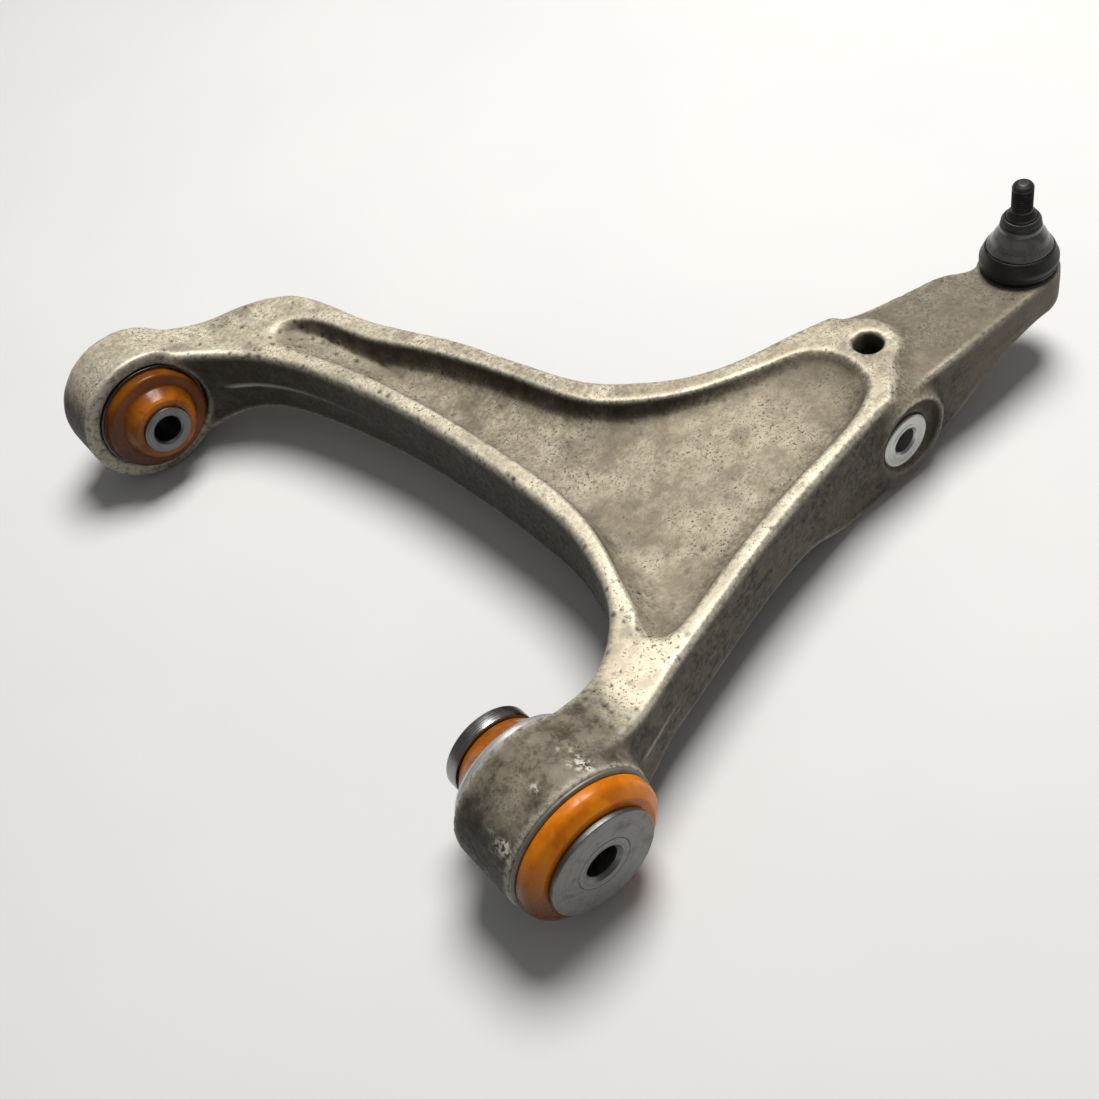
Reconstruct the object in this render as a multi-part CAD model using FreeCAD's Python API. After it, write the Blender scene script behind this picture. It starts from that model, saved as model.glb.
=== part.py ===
import FreeCAD, Part
import math
import os

# Control arm, millimetres.
# Frame: the origin is the middle of the front pivot bush, +Y runs along the pivot axis
# to the rear bush, +X runs outboard to the ball joint and +Z is the ball stud's side.

V = FreeCAD.Vector

# ---- pivot axis -------------------------------------------------------------
PIVOT_SPAN = 357.0            # front bush middle to rear bush middle
SLEEVE_BORE_R = 7.5           # both pivot sleeves take a 14 mm bolt
RUN_FIT = 0.05                # radial clearance of a turning sleeve
FACE_GAP = 0.3                # space between a turning face and a fixed face

# ---- front bush -------------------------------------------------------------
FRONT_BOSS_R = 35.2
FRONT_BOSS_HALF = 18.0
FRONT_BORE_R = 31.0
FRONT_SHELL_ID_R = 29.2
FRONT_SHELL_LIP_R = 34.6
FRONT_SHELL_LIP = 1.6
FRONT_SHELL_TAIL = 5.2
FRONT_FLANGE_ROOT_R = 33.4
FRONT_FLANGE_FACE_R = 27.6
FRONT_FLANGE_BEVEL = 5.4      # length of the flange's rounded bevel
FRONT_SLEEVE_R = 12.5
FRONT_SLEEVE_FACE = -32.0      # outer end of the sleeve
FRONT_SLEEVE_TAIL = 43.0      # end towards the rear bush
FRONT_MOUTH_R = 9.2
FRONT_MOUTH_CHAMFER = 2.0
FRONT_WASHER_R = 25.0
FRONT_WASHER = 2.8
BACK_FLANGE_R = 25.6
BACK_CONE_Y = 26.4            # the inner half narrows from here to the back washer
BACK_CONE_R = 19.6
BACK_WASHER_R = 20.6
BACK_WASHER = 6.5

# ---- rear bush --------------------------------------------------------------
REAR_BOSS_R = 37.3
REAR_BOSS_HALF = 15.8
REAR_BORE_R = 29.6
REAR_SHELL_ID_R = 28.2
REAR_PU_R = 27.6
REAR_PU_STEP = 6.5
REAR_SLEEVE_R = 13.0
REAR_SLEEVE_HALF = 32.5
REAR_MOUTH_R = 8.6
REAR_COLLAR_ROOT_R = 20.0
REAR_COLLAR_TOP_R = 17.2

# ---- casting ----------------------------------------------------------------
RIM_TOP = 19.0
PLATEAU = 13.75
FLOOR_IN = 3.0                # upper pocket floor height near the front neck
FLOOR_OUT = 13.0              # upper pocket floor height at its outer end
FLOOR_KNEE_X = 106.0          # inboard of this the floor climbs to the inner rim
FLOOR_CLIMB = 0.36
CEILING_IN = -5.0             # lower pocket ceiling near the front neck
CEILING_OUT = 2.5
POCKET_X_IN = 80.0
POCKET_X_OUT = 245.0
DRAFT = math.tan(math.radians(14.0))
LOWER_DRAFT = 0.04
SHELF_SLOPE = 1.1
RIM_ROUND = 3.0

# ---- ball joint -------------------------------------------------------------
BALL = V(347.0, 61.0, 10.0)
EYE_R = 19.5
BALL_R = 12.0
LINER_R = 13.0
SEAT_R = 15.4
SEAT_FLOOR = -3.6
RING_R = 18.5
RING_TOP_R = 16.2
RING_TOP = 26.0
SEAT_RISE = 4.0               # seat rim over the ball's middle
LIP_R = 9.7
LIP_Z = 15.6                  # underside of the lip that keeps the ball in
LINER_LOW = 8.0               # the lining's band reaches this far under the ball's middle
LINER_BAND = 9.2
STUD_NECK_R = 5.5
STUD_SHOULDER_R = 7.3
STUD_SHOULDER_Z = 41.5
THREAD_R = 5.0
STUD_TOP = 61.5
BOOT_FOOT_R = 15.2
BOOT_SPLIT_Z = 32.0
BOOT_TOP_Z = 39.0
BOOT_NECK_R = 9.1
BOOT_WALL = 1.6

# ---- damper bolt and drain hole ---------------------------------------------
DAMPER_X = 244.0
DAMPER_Z = -12.0
DAMPER_BOLT_R = 6.2
INSERT_R = 13.6
INSERT_PROUD = 1.0
LUG_R = 23.5
SPOT_FACE_R = 18.6
SPOT_FACE_SHIFT = 2.4         # the spot face sits this far outboard of and above the bolt
NEAR_LUG_Y = 36.6
NEAR_FACE_Y = 40.0
NEAR_INNER_Y = 51.5
FAR_INNER_Y = 89.5
FAR_FACE_Y = 101.0
DRAIN = V(258.5, 75.0, 0)
DRAIN_R = 7.5


def turn_about(profile, centre, axis):
    """Solid of revolution about an axis through centre.

    A profile point is (radius, height) after a straight line, or
    (mid radius, mid height, radius, height) after an arc.
    """
    def place(r, h):
        return centre + V(r, h, 0) if axis.y else centre + V(r, 0, h)

    edges = []
    last = place(*profile[0])
    for step in profile[1:] + profile[:1]:
        end = place(*step[-2:])
        if len(step) == 4:
            edges.append(Part.Arc(last, place(*step[:2]), end).toShape())
        elif end.distanceToPoint(last) > 1e-6:
            edges.append(Part.makeLine(last, end))
        last = end
    return Part.Face(Part.Wire(edges)).revolve(centre, axis, 360)


def lathe_y(profile, y=0.0):
    return turn_about(profile, V(0, y, 0), V(0, 1, 0))


def lathe_ball(profile):
    """Profile heights are absolute z; the axis is the ball joint's."""
    return turn_about(profile, V(BALL.x, BALL.y, 0), V(0, 0, 1))


def bar_y(radius, y0, y1, x=0.0, z=0.0):
    return Part.makeCylinder(radius, y1 - y0, V(x, y0, z), V(0, 1, 0))


def spline(points, z=0.0):
    curve = Part.BSplineCurve()
    curve.interpolate([V(x, y, z) for x, y in points])
    return curve.toShape()


def closed_spline(points, z):
    curve = Part.BSplineCurve()
    curve.interpolate([V(x, y, z) for x, y in points], PeriodicFlag=True)
    return Part.Wire(curve.toShape())


def grown(points, amount):
    """Move every point of a closed counter-clockwise outline outward along its normal."""
    moved = []
    count = len(points)
    for i, (x, y) in enumerate(points):
        before = points[i - 1]
        after = points[(i + 1) % count]
        dx = after[0] - before[0]
        dy = after[1] - before[1]
        length = math.hypot(dx, dy)
        moved.append((x + amount * dy / length, y - amount * dx / length))
    return moved


def drafted(points, z_wide, z_narrow, draft=DRAFT):
    """Tapered cutter: the outline as given at z_wide, smaller at z_narrow."""
    shrink = -draft * abs(z_wide - z_narrow)
    wires = [closed_spline(points, z_wide), closed_spline(grown(points, shrink), z_narrow)]
    return Part.makeLoft(wires, True)


# ---- plan outline of the arm, front bush to eye to rear bush and back ---------
NEAR_EDGE = [(10, -16.5), (30, -10), (46, -5.5), (62, 0.5), (100, 12), (151, 25.5),
             (197, 34.5), (232, 40), (262, 41.5), (295, 41), (322, 41.4)]
FAR_EDGE = [(330, 77.2), (325.5, 80.4), (320, 84.2), (312, 86.8), (303, 88.8), (290, 92),
            (277, 96), (263, 101.5), (237, 109), (214, 114.5), (192.5, 124), (173.7, 139.3), (158, 158.5), (148, 184.3),
            (140, 213.3), (132, 239.4), (124, 258.4), (116, 278.4), (110, 299.3), (105, 322),
            (97, 340.5), (83, 352.3), (67, 359), (48, 363), (30, 367.5), (10, 371.5)]
BAY_EDGE = [(10, 342.5), (28, 336), (41, 328), (52, 317), (60, 303), (67, 285), (73, 264),
            (79.5, 238), (84, 212), (87.5, 180), (90, 147), (91, 116), (89.5, 92),
            (84.5, 72), (78, 55.5), (69, 41.8), (58, 32), (45, 24.5), (28, 19.6), (10, 17.5)]
EYE_FROM = -100.0
EYE_TO = 126.0

# upper pocket, counter-clockwise from the front neck, at rim height
POCKET = [(74, 23), (78, 18), (90, 18.2), (114, 25), (148, 33.6), (180, 39.6), (208, 43.6),
          (229, 49.5), (241, 58), (245, 70), (244, 82), (237, 93), (222, 99.5), (203, 106.5),
          (183, 116), (164, 130), (148, 149.5), (138, 180), (130, 209), (121, 236),
          (112, 257), (103, 277), (98, 297), (92, 314), (82, 324), (72, 325), (66.5, 317),
          (71, 302), (78, 283), (84, 262), (89, 238), (94, 208), (97.5, 178), (100, 146),
          (101, 114), (98, 89), (92.5, 70), (85, 50), (79, 36)]
# the same pocket from below, with the damper's room at its outer end
LOWER_END = [(229, 50.5), (243, 52), (262, 52.6), (282, 53), (296, 55), (303, 61.5),
             (302, 69), (293, 74), (277, 78), (262, 84), (248, 91), (236, 95.5)]
LOWER_POCKET = POCKET[:7] + LOWER_END + POCKET[12:]

# the low shelf between the upper rims and the eye
SHELF = [(222, -10), (330, -10), (400, 20), (400, 100), (330, 130), (276, 128), (262, 112),
         (262, 96), (269, 88), (272.5, 78), (269, 66.5), (260, 59.5), (252, 55.5),
         (244, 48), (234, 38.5), (224, 20)]

# underside height along x: pivot necks, rims, damper lugs, eye
UNDERSIDE = [(62, -19.0), (110, -19.0), (158, -19.3), (176, -22.0), (190, -29.0),
             (205, -34.8), (222, -37.4), (243, -37.0), (258, -33.8), (272, -30.5),
             (288, -24.0), (300, -17.0), (312, -11.8), (328, -8.6), (350, -7.2), (375, -5.8)]
NECK_START_X = 18.0
NECK_END_X = 62.0


def plan_face():
    eye = [math.radians(a) for a in (EYE_FROM, 0.5 * (EYE_FROM + EYE_TO), EYE_TO)]
    rim = [V(BALL.x + EYE_R * math.cos(a), BALL.y + EYE_R * math.sin(a), 0) for a in eye]
    near = spline(NEAR_EDGE + [(rim[0].x, rim[0].y)])
    arc = Part.Arc(*rim).toShape()
    far = spline([(rim[2].x, rim[2].y)] + FAR_EDGE)
    rear = Part.makeLine(V(*FAR_EDGE[-1], 0), V(*BAY_EDGE[0], 0))
    bay = spline(BAY_EDGE)
    front = Part.makeLine(V(*BAY_EDGE[-1], 0), V(*NEAR_EDGE[0], 0))
    return Part.Face(Part.Wire([near, arc, far, rear, bay, front]))


def side_face():
    """Outline seen along the pivot axis: necks swell to the bosses, lugs hang below."""
    start_z = math.sqrt(FRONT_BOSS_R ** 2 - NECK_START_X ** 2) - 0.6
    neck = [(NECK_START_X, start_z), (30, 26.0), (44, 21.6), (NECK_END_X, RIM_TOP)]

    def curve(points):
        line = Part.BSplineCurve()
        line.interpolate([V(x, 0, z) for x, z in points])
        return line.toShape()

    upper_neck = curve(neck)
    lower_neck = curve([(x, -z) for x, z in neck])
    underside = curve(UNDERSIDE)
    top = Part.makeLine(V(NECK_END_X, 0, RIM_TOP), V(375, 0, RIM_TOP))
    tip = Part.makeLine(V(375, 0, RIM_TOP), V(375, 0, UNDERSIDE[-1][1]))
    root = Part.makePolygon([V(NECK_START_X, 0, -start_z), V(5, 0, -start_z),
                             V(5, 0, start_z), V(NECK_START_X, 0, start_z)])
    edges = [upper_neck, top, tip, underside, lower_neck] + root.Edges
    return Part.Face(Part.Wire(Part.sortEdges(edges)[0]))


def above_slope(z_in, z_out, upward):
    """Half space over (or under) the sloping web surface."""
    slope = (z_out - z_in) / (POCKET_X_OUT - POCKET_X_IN)
    corner = []
    for x in (0.0, 400.0):
        corner.append((x, z_in + slope * (x - POCKET_X_IN)))
    if not upward:
        corner[1] = (400.0, z_out)
    far_z = 60.0 if upward else -60.0
    pts = [V(corner[0][0], -50, corner[0][1])]
    if not upward:
        pts.append(V(POCKET_X_OUT, -50, z_out))
    pts += [V(corner[1][0], -50, corner[1][1]), V(400, -50, far_z), V(0, -50, far_z)]
    return Part.Face(Part.makePolygon(pts + pts[:1])).extrude(V(0, 500, 0))


def above_climb():
    """Half space over the inboard part of the upper floor, which climbs to the inner rim."""
    knee = FLOOR_IN
    inboard = knee + FLOOR_CLIMB * FLOOR_KNEE_X
    outboard = knee - FLOOR_CLIMB * (400.0 - FLOOR_KNEE_X)
    pts = [V(0, -50, inboard), V(400, -50, outboard), V(400, -50, 60), V(0, -50, 60)]
    return Part.Face(Part.makePolygon(pts + pts[:1])).extrude(V(0, 500, 0))


def rounded_rims(body):
    """Round the upper and the lower outer edges of the rims, clear of the necks."""
    def runs(edge):
        box = edge.BoundBox
        return box.XMin > NECK_END_X - 2 and box.XMax > NECK_END_X + 1 and edge.Length > 5

    upper = [e for e in body.Edges if runs(e) and e.BoundBox.ZMin > RIM_TOP - 0.1]
    body = body.makeFillet(RIM_ROUND, upper)
    lower = [e for e in body.Edges if runs(e) and e.BoundBox.ZMax < UNDERSIDE[-1][1]]
    return body.makeFillet(RIM_ROUND, lower)


def make_casting():
    body = plan_face().extrude(V(0, 0, 80))
    body.translate(V(0, 0, -45))
    side = side_face().extrude(V(0, 480, 0))
    side.translate(V(0, -40, 0))
    body = rounded_rims(body.common(side))
    body = body.fuse(bar_y(LUG_R, NEAR_LUG_Y, FAR_FACE_Y - 5.0, DAMPER_X, DAMPER_Z))
    shelf = drafted(SHELF, RIM_TOP, PLATEAU, SHELF_SLOPE)
    body = body.cut(shelf.fuse(drafted(SHELF, RIM_TOP, RIM_TOP + 1, 0.0)))
    upper = drafted(POCKET, RIM_TOP, -2.0).fuse(drafted(POCKET, RIM_TOP, RIM_TOP + 1, 0.0))
    upper = upper.common(above_slope(FLOOR_IN, FLOOR_OUT, True)).common(above_climb())
    body = body.cut(upper)
    lower = drafted(LOWER_POCKET, -46.0, 8.0, LOWER_DRAFT)
    body = body.cut(lower.common(above_slope(CEILING_IN, CEILING_OUT, False)))
    body = body.fuse(bar_y(FRONT_BOSS_R, -FRONT_BOSS_HALF, FRONT_BOSS_HALF))
    rear_y = PIVOT_SPAN
    body = body.fuse(bar_y(REAR_BOSS_R, rear_y - REAR_BOSS_HALF, rear_y + REAR_BOSS_HALF))
    for lug_from, lug_to in ((NEAR_FACE_Y, NEAR_INNER_Y), (FAR_INNER_Y, FAR_FACE_Y)):
        body = body.fuse(bar_y(INSERT_R + 5.0, lug_from, lug_to, DAMPER_X, DAMPER_Z))
    body = body.cut(bar_y(FRONT_BORE_R, -60, 60))
    mouth = FRONT_BOSS_HALF - FRONT_MOUTH_CHAMFER
    body = body.cut(lathe_y([(0, mouth), (FRONT_BORE_R, mouth),
                             (FRONT_BORE_R + 2 * FRONT_MOUTH_CHAMFER,
                              mouth + 2 * FRONT_MOUTH_CHAMFER),
                             (0, mouth + 2 * FRONT_MOUTH_CHAMFER)]))
    body = body.cut(bar_y(REAR_BORE_R, rear_y - 60, rear_y + 60))
    body = body.cut(bar_y(INSERT_R, NEAR_LUG_Y - 20, FAR_FACE_Y + 20, DAMPER_X, DAMPER_Z))
    body = body.cut(bar_y(SPOT_FACE_R, NEAR_LUG_Y - 20, NEAR_FACE_Y, DAMPER_X + SPOT_FACE_SHIFT,
                          DAMPER_Z + SPOT_FACE_SHIFT))
    body = body.cut(Part.makeCylinder(DRAIN_R, 60, V(DRAIN.x, DRAIN.y, -10)))
    socket = Part.makeCylinder(SEAT_R, 60, V(BALL.x, BALL.y, SEAT_FLOOR))
    return body.cut(socket).removeSplitter()


# ---- front bush ---------------------------------------------------------------
def front_bush_shell():
    back = -FRONT_BOSS_HALF
    lip = back - FRONT_SHELL_LIP
    tail = FRONT_BOSS_HALF + FRONT_SHELL_TAIL
    return lathe_y([(FRONT_SHELL_ID_R, lip), (FRONT_SHELL_LIP_R - 1, lip),
                    (FRONT_SHELL_LIP_R, lip + 1), (FRONT_SHELL_LIP_R, back),
                    (FRONT_BORE_R, back), (FRONT_BORE_R, tail - 0.8),
                    (FRONT_BORE_R - 0.8, tail), (FRONT_SHELL_ID_R, tail)])


def front_bush_outer_half():
    root = -(FRONT_BOSS_HALF + FRONT_SHELL_LIP)
    face = FRONT_SLEEVE_FACE + FRONT_WASHER + FACE_GAP
    bevel = face + FRONT_FLANGE_BEVEL
    return lathe_y([(FRONT_SLEEVE_R + RUN_FIT, 0), (FRONT_SLEEVE_R + RUN_FIT, face),
                    (FRONT_FLANGE_FACE_R, face),
                    (FRONT_FLANGE_ROOT_R - 1.9, face + 2.1, FRONT_FLANGE_ROOT_R, bevel),
                    (FRONT_FLANGE_ROOT_R, root - 0.8),
                    (FRONT_FLANGE_ROOT_R - 0.8, root), (FRONT_SHELL_ID_R, root),
                    (FRONT_SHELL_ID_R, 0)])


def front_bush_inner_half():
    tail = FRONT_BOSS_HALF + FRONT_SHELL_TAIL
    face = FRONT_SLEEVE_TAIL - BACK_WASHER - FACE_GAP
    return lathe_y([(FRONT_SLEEVE_R + RUN_FIT, 0), (FRONT_SHELL_ID_R, 0),
                    (FRONT_SHELL_ID_R, tail), (BACK_FLANGE_R, tail),
                    (BACK_FLANGE_R, BACK_CONE_Y), (BACK_CONE_R, face - 0.8),
                    (BACK_CONE_R - 0.8, face), (FRONT_SLEEVE_R + RUN_FIT, face)])


def sleeve(outer_r, mouth_r, y0, y1):
    """Steel bush sleeve with a chamfered bore at both ends."""
    depth = mouth_r - SLEEVE_BORE_R
    return lathe_y([(SLEEVE_BORE_R, y0 + depth), (mouth_r, y0), (outer_r - 0.5, y0),
                    (outer_r, y0 + 0.5), (outer_r, y1 - 0.5), (outer_r - 0.5, y1),
                    (mouth_r, y1), (SLEEVE_BORE_R, y1 - depth)])


def washer(outer_r, y0, y1):
    return lathe_y([(FRONT_SLEEVE_R, y0), (outer_r - 0.6, y0), (outer_r, y0 + 0.6),
                    (outer_r, y1 - 0.6), (outer_r - 0.6, y1), (FRONT_SLEEVE_R, y1)])


# ---- rear bush ----------------------------------------------------------------
def rear_bush_shell():
    half = REAR_BOSS_HALF + 0.7
    return lathe_y([(REAR_SHELL_ID_R, -half), (REAR_BORE_R - 0.6, -half),
                    (REAR_BORE_R, 0.6 - half), (REAR_BORE_R, half - 0.6),
                    (REAR_BORE_R - 0.6, half), (REAR_SHELL_ID_R, half)], PIVOT_SPAN)


def rear_bush_half(side):
    """Half of the rear urethane: side -1 faces the front bush, +1 faces away."""
    bore = REAR_SLEEVE_R + RUN_FIT
    step = REAR_BOSS_HALF + REAR_PU_STEP
    mouth = REAR_BOSS_HALF + 0.7
    top = REAR_SLEEVE_HALF - 1.5
    profile = [(bore, 0), (REAR_SHELL_ID_R, 0), (REAR_SHELL_ID_R, mouth), (REAR_PU_R, mouth),
               (REAR_PU_R, step - 2.2), (REAR_PU_R - 0.6, step - 0.6, REAR_PU_R - 2.2, step),
               (REAR_COLLAR_ROOT_R + 2.6, step), (REAR_COLLAR_ROOT_R + 0.6, step - 0.9,
                                                  REAR_COLLAR_ROOT_R - 0.8, step + 0.8),
               (REAR_COLLAR_TOP_R + 0.5, top - 0.6), (REAR_COLLAR_TOP_R - 0.1, top),
               (bore, top)]
    return lathe_y([step[:1] + tuple([side * step[1]]) if len(step) == 2 else
                    (step[0], side * step[1], step[2], side * step[3])
                    for step in profile], PIVOT_SPAN)


# ---- damper bolt inserts --------------------------------------------------------
def damper_insert(y0, y1):
    chamfer = 1.2
    body = turn_about([(DAMPER_BOLT_R, y0 + chamfer), (DAMPER_BOLT_R + chamfer, y0),
                       (INSERT_R - 0.8, y0), (INSERT_R, y0 + 0.8), (INSERT_R, y1 - 0.8),
                       (INSERT_R - 0.8, y1), (DAMPER_BOLT_R + chamfer, y1),
                       (DAMPER_BOLT_R, y1 - chamfer)], V(DAMPER_X, 0, DAMPER_Z), V(0, 1, 0))
    return body


# ---- ball joint ---------------------------------------------------------------
def ball_seat():
    """Plastic cup that holds the ball's lining from below and around."""
    rim = BALL.z + SEAT_RISE
    cup = lathe_ball([(0, SEAT_FLOOR), (SEAT_R, SEAT_FLOOR), (SEAT_R, rim), (0, rim)])
    return cup.cut(Part.makeSphere(LINER_R + RUN_FIT, BALL))


def ball_liner():
    """Spherical lining between the seat and the ball, open at the top and the bottom."""
    ring = Part.makeSphere(LINER_R, BALL).cut(Part.makeSphere(BALL_R + RUN_FIT, BALL))
    band = Part.makeCylinder(LINER_R + 1, LINER_BAND, V(BALL.x, BALL.y, BALL.z - LINER_LOW))
    return ring.common(band)


def housing_ring():
    """Black steel ring crimped on the eye: it closes the socket over the ball."""
    seat_top = BALL.z + SEAT_RISE
    base = PLATEAU + 0.25
    ring = lathe_ball([(LIP_R, seat_top), (SEAT_R, seat_top), (SEAT_R, base),
                       (RING_R - 1.2, base), (RING_R - 1.2, base + 1.6), (RING_R, base + 3.2),
                       (RING_R, RING_TOP - 5.6), (RING_TOP_R + 0.4, RING_TOP - 1.0),
                       (RING_TOP_R - 0.4, RING_TOP),
                       (BOOT_FOOT_R - 0.6, RING_TOP), (LIP_R + 0.4, LIP_Z + 2.4),
                       (LIP_R, LIP_Z + 1.4)])
    room = Part.makeSphere(LINER_R + FACE_GAP, BALL)
    below_lip = Part.makeCylinder(RING_R, LIP_Z, V(BALL.x, BALL.y, 0))
    return ring.cut(room.common(below_lip)).cut(Part.makeSphere(BALL_R + FACE_GAP, BALL))


def ball_stud():
    top = STUD_TOP
    shaft = lathe_ball([(0, BALL.z + 2), (STUD_NECK_R, BALL.z + 2), (STUD_NECK_R, 24),
                        (STUD_SHOULDER_R - 0.6, 34), (STUD_SHOULDER_R, STUD_SHOULDER_Z),
                        (STUD_SHOULDER_R - 0.4, STUD_SHOULDER_Z + 2.6),
                        (THREAD_R, STUD_SHOULDER_Z + 5.0), (THREAD_R, top - 3.2),
                        (THREAD_R - 1.5, top - 1.0), (1.8, top), (0, top)])
    return shaft.fuse(Part.makeSphere(BALL_R, BALL))


def boot_band(z0, z1, scale=1.0):
    """Wall of the dust boot between two heights: a cone from the ring to the stud."""
    lean = (BOOT_FOOT_R - BOOT_NECK_R) / (BOOT_TOP_Z - RING_TOP)
    r0 = BOOT_FOOT_R - lean * (z0 - RING_TOP)
    r1 = BOOT_FOOT_R - lean * (z1 - RING_TOP)
    return lathe_ball([(r0 - BOOT_WALL, z0), (r0, z0), (r1, z1), (r1 - BOOT_WALL, z1)])


def boot_collar():
    """Top lip of the boot with its spring band, gripping the stud's shoulder."""
    z0 = BOOT_TOP_Z
    inner = STUD_SHOULDER_R + RUN_FIT
    return lathe_ball([(inner, z0), (BOOT_NECK_R, z0), (BOOT_NECK_R + 0.5, z0 + 1.0),
                       (BOOT_NECK_R + 0.5, z0 + 2.6), (BOOT_NECK_R - 0.6, z0 + 3.8),
                       (inner, z0 + 3.8)])


def save(shape, node):
    shape.exportStep(os.path.join("parts", node + ".step"))


def make_all():
    rear_face = PIVOT_SPAN - REAR_SLEEVE_HALF
    rear_tail = PIVOT_SPAN + REAR_SLEEVE_HALF
    return {
        "arm_casting": make_casting(),
        "front_bush_shell": front_bush_shell(),
        "front_bush_outer_half": front_bush_outer_half(),
        "front_bush_inner_half": front_bush_inner_half(),
        "front_bush_sleeve": sleeve(FRONT_SLEEVE_R, FRONT_MOUTH_R, FRONT_SLEEVE_FACE,
                                    FRONT_SLEEVE_TAIL),
        "front_face_washer": washer(FRONT_WASHER_R, FRONT_SLEEVE_FACE,
                                    FRONT_SLEEVE_FACE + FRONT_WASHER),
        "front_back_washer": washer(BACK_WASHER_R, FRONT_SLEEVE_TAIL - BACK_WASHER,
                                    FRONT_SLEEVE_TAIL),
        "rear_bush_shell": rear_bush_shell(),
        "rear_bush_near_half": rear_bush_half(-1),
        "rear_bush_far_half": rear_bush_half(1),
        "rear_bush_sleeve": sleeve(REAR_SLEEVE_R, REAR_MOUTH_R, rear_face, rear_tail),
        "damper_insert_near": damper_insert(NEAR_FACE_Y - INSERT_PROUD, NEAR_INNER_Y),
        "damper_insert_far": damper_insert(FAR_INNER_Y, FAR_FACE_Y),
        "ball_seat": ball_seat(),
        "ball_liner": ball_liner(),
        "housing_ring": housing_ring(),
        "ball_stud": ball_stud(),
        "boot_lower": boot_band(RING_TOP, BOOT_SPLIT_Z),
        "boot_upper": boot_band(BOOT_SPLIT_Z + FACE_GAP, BOOT_TOP_Z),
        "boot_collar": boot_collar(),
    }


os.makedirs("parts", exist_ok=True)
for node, shape in make_all().items():
    save(shape, node)
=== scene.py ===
import math

import bmesh
import bpy
import numpy as np
from mathutils import Matrix, Vector, noise


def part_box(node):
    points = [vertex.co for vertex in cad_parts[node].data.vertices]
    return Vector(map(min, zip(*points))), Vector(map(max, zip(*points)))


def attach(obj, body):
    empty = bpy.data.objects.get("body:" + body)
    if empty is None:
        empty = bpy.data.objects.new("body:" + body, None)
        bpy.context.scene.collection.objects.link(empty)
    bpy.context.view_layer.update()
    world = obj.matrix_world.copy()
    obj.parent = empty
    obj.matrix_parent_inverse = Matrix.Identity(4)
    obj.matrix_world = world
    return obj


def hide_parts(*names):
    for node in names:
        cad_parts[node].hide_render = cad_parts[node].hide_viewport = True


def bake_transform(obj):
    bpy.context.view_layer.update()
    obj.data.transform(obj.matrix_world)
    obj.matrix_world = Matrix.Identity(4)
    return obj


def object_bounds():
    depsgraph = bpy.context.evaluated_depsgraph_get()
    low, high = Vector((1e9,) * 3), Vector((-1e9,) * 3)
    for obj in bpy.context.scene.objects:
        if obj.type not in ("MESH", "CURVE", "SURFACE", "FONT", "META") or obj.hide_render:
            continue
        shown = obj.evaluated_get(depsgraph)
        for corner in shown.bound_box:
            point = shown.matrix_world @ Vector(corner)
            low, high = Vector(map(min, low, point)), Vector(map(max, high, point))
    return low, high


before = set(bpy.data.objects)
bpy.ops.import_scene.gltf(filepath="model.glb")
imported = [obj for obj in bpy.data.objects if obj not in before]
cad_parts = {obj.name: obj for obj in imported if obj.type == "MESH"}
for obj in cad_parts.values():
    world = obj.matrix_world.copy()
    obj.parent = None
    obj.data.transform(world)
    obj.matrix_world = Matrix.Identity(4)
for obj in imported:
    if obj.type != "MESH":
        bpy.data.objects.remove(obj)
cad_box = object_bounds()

MM = 0.001
SEGMENTS = 144                      # facets round a turned piece
SHARP = math.radians(40)            # edges sharper than this shade as edges
MERGE = 1e-6                        # points nearer than this are one point, metres
STRAIGHT = math.radians(176)        # a corner flatter than this stays a point
NO_LENGTH = 1e-9                    # a side shorter than this has no direction
CORNER_SHARE = 0.46                 # the most that a corner's arc may take of a side

# ---- where things are, from the frame -------------------------------------------


def middle(node):
    low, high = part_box(node)
    return (low + high) * 0.5


FRONT = Vector((0, 0, 0))           # middle of the front bush
REAR = middle("rear_bush_shell")
DAMPER = middle("damper_insert_near")
DAMPER.y = 0.0
BALL = middle("housing_ring")       # axis of the ball joint
BALL.z = 0.0
BALL_Z = 10.0                       # ball middle's height, mm
Y_AXIS = "y"
Z_AXIS = "z"


# ---- mesh helpers -----------------------------------------------------------------
def new_object(name, verts, faces, smooth=True):
    mesh = bpy.data.meshes.new(name)
    mesh.from_pydata([tuple(v) for v in verts], [], faces)
    mesh.validate()
    obj = bpy.data.objects.new(name, mesh)
    bpy.context.scene.collection.objects.link(obj)
    if smooth:
        mesh.polygons.foreach_set("use_smooth", [True] * len(mesh.polygons))
    return obj


def rounded(profile, radius, steps=5):
    """A closed profile with every corner turned into an arc.

    A profile point is (r, h) or (r, h, corner radius).
    """
    out = []
    count = len(profile)
    for i, point in enumerate(profile):
        p = Vector(point[:2])
        want = point[2] if len(point) > 2 else radius
        a = Vector(profile[i - 1][:2]) - p
        b = Vector(profile[(i + 1) % count][:2]) - p
        la, lb = a.length, b.length
        if want <= 0 or la < NO_LENGTH or lb < NO_LENGTH:
            out.append(p)
            continue
        a /= la
        b /= lb
        angle = a.angle(b)
        if angle > STRAIGHT:
            out.append(p)
            continue
        reach = want / math.tan(angle / 2)
        reach = min(reach, CORNER_SHARE * la, CORNER_SHARE * lb)
        r = reach * math.tan(angle / 2)
        centre = p + (a + b).normalized() * (r / math.sin(angle / 2))
        start = p + a * reach - centre
        end = p + b * reach - centre
        for k in range(steps + 1):
            t = k / steps
            sweep = start.angle(end)
            w0 = math.sin((1 - t) * sweep) / math.sin(sweep)
            w1 = math.sin(t * sweep) / math.sin(sweep)
            out.append(centre + start * w0 + end * w1)
    return out


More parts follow.
